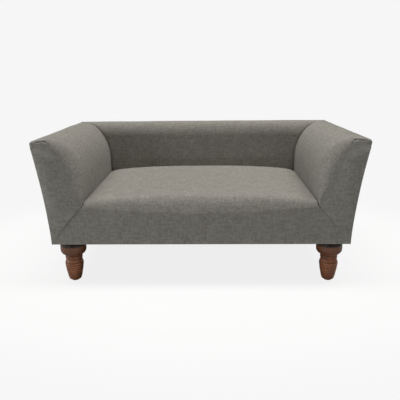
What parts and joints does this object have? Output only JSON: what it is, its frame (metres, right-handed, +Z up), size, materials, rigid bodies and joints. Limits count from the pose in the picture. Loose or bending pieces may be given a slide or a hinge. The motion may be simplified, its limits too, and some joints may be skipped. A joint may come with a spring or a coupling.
{
  "type": "dog sofa bed",
  "caption": "Small upholstered sofa for a dog: crowned fixed seat between a low padded back and outward-leaning padded arms, on short turned wooden legs.",
  "frame": {"origin": "middle of the whole sofa's outline, on the floor under it", "axes": "+X to the arm on the right of the picture, -Y out of the front, +Z up"},
  "size_m": [0.9572, 0.5966, 0.434],
  "materials": {
    "timber": "planed softwood",
    "plywood": "plain plywood",
    "hardboard": "smooth brown hardboard",
    "foam": "matte open-cell foam",
    "wadding": "matte white polyester wadding",
    "cloth": "matte woven grey-brown upholstery cloth",
    "dust_cloth": "matte black non-woven cloth",
    "stained_wood": "satin red-brown stain",
    "zinc": "bright zinc plated",
    "glide_plastic": "matte black plastic"
  },
  "bodies": {
    "root": {"front_rail": "timber", "back_rail": "timber", "left_side_rail": "timber", "right_side_rail": "timber", "cross_rail": "timber", "seat_deck": "plywood", "leg_block_front_left": "timber", "leg_block_front_right": "timber", "leg_block_rear_left": "timber", "leg_block_rear_right": "timber", "left_arm_front_board": "timber", "right_arm_front_board": "timber", "left_rear_post": "timber", "right_rear_post": "timber", "left_arm_top_rail": "timber", "right_arm_top_rail": "timber", "left_arm_tack_rail": "timber", "right_arm_tack_rail": "timber", "back_top_rail": "timber", "back_tack_rail": "timber", "back_middle_post": "timber", "left_arm_inner_panel": "hardboard", "right_arm_inner_panel": "hardboard", "back_inner_panel": "hardboard", "left_arm_outer_panel": "hardboard", "right_arm_outer_panel": "hardboard", "back_outer_panel": "hardboard", "left_arm_foam": "foam", "right_arm_foam": "foam", "back_foam": "foam", "seat_foam": "foam", "left_arm_front_wadding": "wadding", "right_arm_front_wadding": "wadding", "seat_wadding": "wadding", "left_arm_cover": "cloth", "right_arm_cover": "cloth", "back_cover": "cloth", "seat_cover": "cloth", "left_outside_cover": "cloth", "right_outside_cover": "cloth", "back_outside_cover": "cloth", "dust_cover": "dust_cloth", "staples": "zinc", "deck_screws": "zinc", "block_screws": "zinc", "frame_screws": "zinc", "leg_front_left": "stained_wood", "leg_front_right": "stained_wood", "leg_rear_left": "stained_wood", "leg_rear_right": "stained_wood", "hanger_bolts": "zinc", "tee_nuts": "zinc", "glides": "glide_plastic"}
  },
  "joints": []
}
